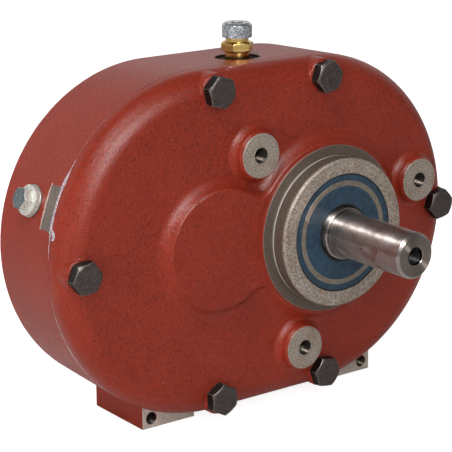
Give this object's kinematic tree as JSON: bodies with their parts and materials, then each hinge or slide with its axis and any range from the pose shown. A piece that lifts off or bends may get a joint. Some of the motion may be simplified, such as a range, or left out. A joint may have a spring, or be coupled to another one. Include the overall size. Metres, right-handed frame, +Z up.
{
  "type": "gearbox",
  "caption": "Foot-mounted parallel-shaft gearbox: obround red cast casing, spigot flange with tapped bosses, front drive shaft, geared rear pinion shaft, breather and side plug.",
  "frame": {"origin": "on the drive shaft's axis, in the plane of the mounting flange and its tapped bosses", "axes": "+Z up; -Y out of the flange along the drive shaft; +X from the pinion shaft towards the drive shaft"},
  "size_m": [0.3192, 0.2485, 0.2568],
  "materials": {
    "red_enamel": "semi-gloss red enamel over a sand casting, machined faces bare",
    "sealant": "pale joint sealant",
    "black_bolt": "black oxide, edges worn",
    "ground_shaft": "ground and polished",
    "gear_steel": "hobbed case-hardened steel",
    "bearing_steel": "ground bearing steel",
    "cage_polymer": "moulded glass-filled polymer",
    "seal_rubber": "blue moulded rubber",
    "seal_metal": "bare pressed steel",
    "spring_steel": "oiled spring steel",
    "brass": "turned brass",
    "zinc_plate": "bright zinc plate",
    "soft_washer": "soft sealing washer",
    "black_plug": "black oxide"
  },
  "bodies": {
    "casing": {"breather_body": "brass", "breather_cap": "zinc_plate", "cover_bolts": "black_bolt", "dowel_pins": "gear_steel", "drain_plug": "black_plug", "drive_front_outer_ring": "bearing_steel", "drive_rear_outer_ring": "bearing_steel", "front_circlip": "spring_steel", "front_cover": "red_enamel", "front_seal": "seal_rubber", "front_seal_ring": "seal_metal", "front_seal_spring": "spring_steel", "housing": "red_enamel", "joint_gasket": "sealant", "level_plug": "zinc_plate", "level_plug_washer": "soft_washer", "pinion_front_outer_ring": "bearing_steel", "pinion_rear_outer_ring": "bearing_steel", "rear_circlip": "spring_steel", "rear_seal": "seal_rubber", "rear_seal_ring": "seal_metal", "rear_seal_spring": "spring_steel"},
    "drive_shaft": {"drive_shaft": "ground_shaft", "drive_gear": "gear_steel", "gear_key": "gear_steel", "gear_spacer": "gear_steel", "drive_front_inner_ring": "bearing_steel", "drive_rear_inner_ring": "bearing_steel"},
    "pinion_shaft": {"pinion_shaft": "ground_shaft", "pinion_front_inner_ring": "bearing_steel", "pinion_rear_inner_ring": "bearing_steel"},
    "drive_front_rollers": {"drive_front_balls": "bearing_steel", "drive_front_cage": "cage_polymer"},
    "drive_rear_rollers": {"drive_rear_balls": "bearing_steel", "drive_rear_cage": "cage_polymer"},
    "pinion_front_rollers": {"pinion_front_balls": "bearing_steel", "pinion_front_cage": "cage_polymer"},
    "pinion_rear_rollers": {"pinion_rear_balls": "bearing_steel", "pinion_rear_cage": "cage_polymer"}
  },
  "joints": [
    {"name": "drive_shaft_turn", "type": "hinge", "parent": "casing", "child": "drive_shaft", "pos_m": [0, 0, 0], "axis": [0, 1, 0], "continuous": true},
    {"name": "pinion_shaft_turn", "type": "hinge", "parent": "casing", "child": "pinion_shaft", "pos_m": [-0.087, 0, 0], "axis": [0, 1, 0], "continuous": true},
    {"name": "drive_front_rollers_turn", "type": "hinge", "parent": "casing", "child": "drive_front_rollers", "pos_m": [0, 0, 0], "axis": [0, 1, 0], "continuous": true},
    {"name": "drive_rear_rollers_turn", "type": "hinge", "parent": "casing", "child": "drive_rear_rollers", "pos_m": [0, 0, 0], "axis": [0, 1, 0], "continuous": true},
    {"name": "pinion_front_rollers_turn", "type": "hinge", "parent": "casing", "child": "pinion_front_rollers", "pos_m": [-0.087, 0, 0], "axis": [0, 1, 0], "continuous": true},
    {"name": "pinion_rear_rollers_turn", "type": "hinge", "parent": "casing", "child": "pinion_rear_rollers", "pos_m": [-0.087, 0, 0], "axis": [0, 1, 0], "continuous": true}
  ],
  "couplings": [
    {"joint": "pinion_shaft_turn", "follows": "drive_shaft_turn", "ratio": -2.0526},
    {"joint": "drive_front_rollers_turn", "follows": "drive_shaft_turn", "ratio": 0.38261},
    {"joint": "drive_rear_rollers_turn", "follows": "drive_shaft_turn", "ratio": 0.38261},
    {"joint": "pinion_front_rollers_turn", "follows": "drive_shaft_turn", "ratio": -0.81391},
    {"joint": "pinion_rear_rollers_turn", "follows": "drive_shaft_turn", "ratio": -0.81391}
  ]
}
